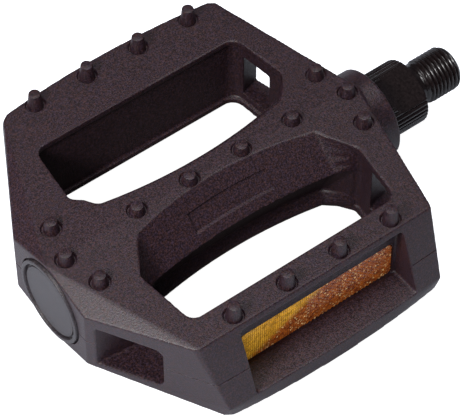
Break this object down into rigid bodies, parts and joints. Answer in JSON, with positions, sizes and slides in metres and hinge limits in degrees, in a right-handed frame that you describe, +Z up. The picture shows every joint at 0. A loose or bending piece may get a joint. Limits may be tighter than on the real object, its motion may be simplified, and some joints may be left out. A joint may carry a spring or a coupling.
{
  "type": "bicycle flat pedal",
  "caption": "Left flat pedal with a one-piece studded cage, open windows, amber reflectors front and rear, and a cup-and-cone axle with a threaded crank end.",
  "frame": {"origin": "middle of the whole pedal's box, on the axle's axis", "axes": "+X along the axle towards the crank, +Y to the rear, +Z up through the upper tread, with the reflector seen in the picture on the -Y side"},
  "size_m": [0.1312, 0.1016, 0.0328],
  "materials": {
    "cage_plastic": "fine moulded grain, near black",
    "cap_plastic": "satin, dark grey",
    "axle_steel": "black oxide, glossy with oil",
    "bright_steel": "ground bearing steel",
    "lens_amber": "clear amber with prisms",
    "reflector_back": "moulded backing plate",
    "seal_rubber": "black, matt"
  },
  "bodies": {
    "axle": {"axle": "axle_steel", "outboard_cone": "bright_steel", "tab_washer": "bright_steel", "lock_nut": "bright_steel"},
    "cage": {"cage": "cage_plastic", "dust_cap": "cap_plastic", "inboard_cup": "bright_steel", "outboard_cup": "bright_steel", "inboard_seal": "seal_rubber", "reflector_front_lens": "lens_amber", "reflector_front_backing": "reflector_back", "reflector_rear_lens": "lens_amber", "reflector_rear_backing": "reflector_back"},
    "inboard_balls": {"inboard_ball_01": "bright_steel", "inboard_ball_02": "bright_steel", "inboard_ball_03": "bright_steel", "inboard_ball_04": "bright_steel", "inboard_ball_05": "bright_steel", "inboard_ball_06": "bright_steel", "inboard_ball_07": "bright_steel", "inboard_ball_08": "bright_steel", "inboard_ball_09": "bright_steel", "inboard_ball_10": "bright_steel", "inboard_ball_11": "bright_steel", "inboard_ball_12": "bright_steel"},
    "outboard_balls": {"outboard_ball_01": "bright_steel", "outboard_ball_02": "bright_steel", "outboard_ball_03": "bright_steel", "outboard_ball_04": "bright_steel", "outboard_ball_05": "bright_steel", "outboard_ball_06": "bright_steel", "outboard_ball_07": "bright_steel", "outboard_ball_08": "bright_steel", "outboard_ball_09": "bright_steel", "outboard_ball_10": "bright_steel"}
  },
  "joints": [
    {"name": "cage_spin", "type": "hinge", "parent": "axle", "child": "cage", "pos_m": [-0.0114, 0, 0], "axis": [1, 0, 0], "continuous": true},
    {"name": "inboard_ball_orbit", "type": "hinge", "parent": "axle", "child": "inboard_balls", "pos_m": [0.0296, 0, 0], "axis": [1, 0, 0], "continuous": true},
    {"name": "outboard_ball_orbit", "type": "hinge", "parent": "axle", "child": "outboard_balls", "pos_m": [-0.05, 0, 0], "axis": [1, 0, 0], "continuous": true}
  ],
  "couplings": [
    {"joint": "inboard_ball_orbit", "follows": "cage_spin", "ratio": 0.57905},
    {"joint": "outboard_ball_orbit", "follows": "cage_spin", "ratio": 0.59354}
  ]
}
